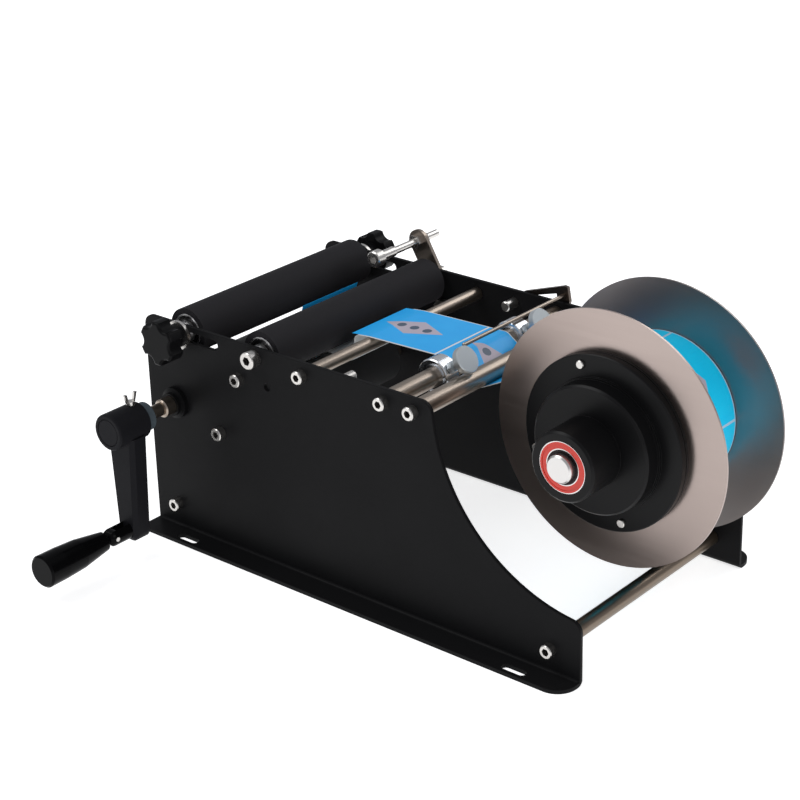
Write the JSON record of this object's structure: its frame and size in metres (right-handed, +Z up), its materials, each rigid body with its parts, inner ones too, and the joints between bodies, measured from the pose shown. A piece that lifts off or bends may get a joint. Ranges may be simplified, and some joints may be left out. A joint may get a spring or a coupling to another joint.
{
  "type": "bottle labelling machine",
  "caption": "Tabletop hand-cranked machine that peels labels from a reel and rolls them onto a round bottle lying on two rubber rollers.",
  "frame": {"origin": "on the floor plane, at the centre of the four slots in the base flanges", "axes": "+X toward the label reel, +Y away from the crank side, +Z up"},
  "size_m": [0.4665, 0.3709, 0.241],
  "materials": {
    "black_powder_coat": "satin",
    "bright_steel": "satin",
    "zinc_screws": "satin",
    "brushed_stainless": "satin",
    "chrome": "gloss",
    "black_rubber": "matte",
    "feed_rubber": "matte",
    "aluminium": "satin",
    "bearing_steel": "satin",
    "black_plastic": "matte",
    "black_anodised": "satin",
    "crank_black": "satin",
    "grey_ring": "satin",
    "label_paper": "matte",
    "cardboard": "matte"
  },
  "bodies": {
    "frame": {"near_side_plate": "black_powder_coat", "far_side_plate": "black_powder_coat", "tie_bars": "bright_steel", "peel_plate_bar": "bright_steel", "upper_guide_bar": "bright_steel", "guide_rods": "bright_steel", "pinch_roller_shaft": "bright_steel", "front_roller_shaft": "bright_steel", "plate_screws": "zinc_screws", "front_roller_screws": "zinc_screws", "peel_plate": "brushed_stainless", "web_guide_pins": "bright_steel", "front_roller_spacers": "aluminium", "crank_flange_bearings": "black_plastic", "crank_shaft_bushes": "bearing_steel", "reel_spindle": "bright_steel", "spindle_nut": "zinc_screws", "bottle_stop_bar": "brushed_stainless", "bottle_stop_nuts": "zinc_screws", "label_web": "label_paper"},
    "front_roller": {"front_roller_sleeve": "black_rubber", "front_roller_tube": "aluminium", "front_roller_bearings": "bearing_steel"},
    "crank": {"crank_shaft": "bright_steel", "crank_shaft_rings": "grey_ring", "crank_arm": "crank_black", "crank_hub_cap": "crank_black", "crank_handle_fork": "crank_black", "handle_pin": "zinc_screws", "feed_roller_core": "aluminium", "feed_roller_rubber": "feed_rubber"},
    "crank_wing_screw": {"crank_wing_screw": "zinc_screws"},
    "handle_spindle": {"handle_spindle": "crank_black"},
    "handle_grip": {"handle_grip": "crank_black"},
    "pinch_roller": {"pinch_roller_core": "aluminium", "pinch_roller_rubber": "feed_rubber"},
    "rear_roller_carriage": {"rear_roller_shaft": "bright_steel", "rear_roller_spacers": "aluminium", "clamp_washers": "zinc_screws"},
    "rear_roller": {"rear_roller_sleeve": "black_rubber", "rear_roller_tube": "aluminium", "rear_roller_bearings": "bearing_steel"},
    "near_star_knob": {"near_star_knob": "black_plastic"},
    "far_star_knob": {"far_star_knob": "black_plastic"},
    "reel": {"far_reel_hub": "black_anodised", "far_reel_disc": "brushed_stainless", "far_reel_bearings": "bearing_steel", "label_roll_core": "cardboard", "label_roll": "label_paper"},
    "near_reel_half": {"near_reel_hub": "black_anodised", "near_reel_disc": "brushed_stainless", "near_reel_bearings": "bearing_steel", "near_reel_screws": "zinc_screws"},
    "near_guide_collar": {"near_guide_collar": "chrome"},
    "far_guide_collar": {"far_guide_collar": "chrome"},
    "near_thumb_screw": {"near_thumb_screw": "chrome"},
    "far_thumb_screw": {"far_thumb_screw": "chrome"},
    "hold_down": {"hold_down_lever": "brushed_stainless", "hold_down_rod": "brushed_stainless"},
    "bottle_stop_screw": {"bottle_stop_screw": "zinc_screws"}
  },
  "joints": [
    {"name": "front_roller_spin", "type": "hinge", "parent": "frame", "child": "front_roller", "pos_m": [-0.0875, 0, 0.1645], "axis": [0, 1, 0], "continuous": true},
    {"name": "crank_turn", "type": "hinge", "parent": "frame", "child": "crank", "pos_m": [-0.171, 0, 0.108], "axis": [0, 1, 0], "continuous": true},
    {"name": "crank_wing_screw_turn", "type": "hinge", "parent": "crank", "child": "crank_wing_screw", "pos_m": [-0.171, -0.148, 0.121], "axis": [0, 0, 1], "range_deg": [0, 360]},
    {"name": "handle_fold", "type": "hinge", "parent": "crank", "child": "handle_spindle", "pos_m": [-0.171, -0.1765, 0.025], "axis": [-1, 0, 0], "range_deg": [0, 90]},
    {"name": "handle_grip_spin", "type": "hinge", "parent": "handle_spindle", "child": "handle_grip", "pos_m": [-0.171, -0.203, 0.025], "axis": [0, 1, 0], "continuous": true},
    {"name": "pinch_roller_spin", "type": "hinge", "parent": "frame", "child": "pinch_roller", "pos_m": [-0.126, 0, 0.095], "axis": [0, 1, 0], "continuous": true},
    {"name": "rear_roller_adjust", "type": "slide", "parent": "frame", "child": "rear_roller_carriage", "axis": [1, 0, 0], "range_m": [-0.012, 0.028]},
    {"name": "rear_roller_spin", "type": "hinge", "parent": "rear_roller_carriage", "child": "rear_roller", "pos_m": [-0.163, 0, 0.1645], "axis": [0, 1, 0], "continuous": true},
    {"name": "near_star_knob_turn", "type": "hinge", "parent": "rear_roller_carriage", "child": "near_star_knob", "pos_m": [-0.163, -0.11, 0.1645], "axis": [0, 1, 0], "range_deg": [0, 360]},
    {"name": "far_star_knob_turn", "type": "hinge", "parent": "rear_roller_carriage", "child": "far_star_knob", "pos_m": [-0.163, 0.11, 0.1645], "axis": [0, 1, 0], "range_deg": [-360, 0]},
    {"name": "reel_spin", "type": "hinge", "parent": "frame", "child": "reel", "pos_m": [0.1745, 0.002, 0.149], "axis": [0, 1, 0], "continuous": true},
    {"name": "near_reel_half_slide", "type": "slide", "parent": "reel", "child": "near_reel_half", "axis": [0, 1, 0], "range_m": [-0.04, 0]},
    {"name": "near_guide_collar_slide", "type": "slide", "parent": "frame", "child": "near_guide_collar", "axis": [0, 1, 0], "range_m": [-0.045, 0]},
    {"name": "far_guide_collar_slide", "type": "slide", "parent": "frame", "child": "far_guide_collar", "axis": [0, 1, 0], "range_m": [0, 0.042]},
    {"name": "near_thumb_screw_turn", "type": "hinge", "parent": "near_guide_collar", "child": "near_thumb_screw", "pos_m": [0.034, -0.0418, 0.1625], "axis": [0.8192, 0, 0.5736], "range_deg": [0, 360]},
    {"name": "far_thumb_screw_turn", "type": "hinge", "parent": "far_guide_collar", "child": "far_thumb_screw", "pos_m": [0.034, 0.0458, 0.1625], "axis": [0.8192, 0, 0.5736], "range_deg": [0, 360]},
    {"name": "hold_down_lift", "type": "hinge", "parent": "frame", "child": "hold_down", "pos_m": [0.034, 0.104, 0.1625], "axis": [0, 1, 0], "range_deg": [-50, 12]},
    {"name": "bottle_stop_adjust", "type": "slide", "parent": "frame", "child": "bottle_stop_screw", "axis": [0, 1, 0], "range_m": [-0.015, 0.02]}
  ],
  "couplings": [
    {"joint": "pinch_roller_spin", "follows": "crank_turn", "ratio": -1.2195},
    {"joint": "front_roller_spin", "follows": "crank_turn", "ratio": 1.4286},
    {"joint": "reel_spin", "follows": "crank_turn", "ratio": -0.45455}
  ]
}
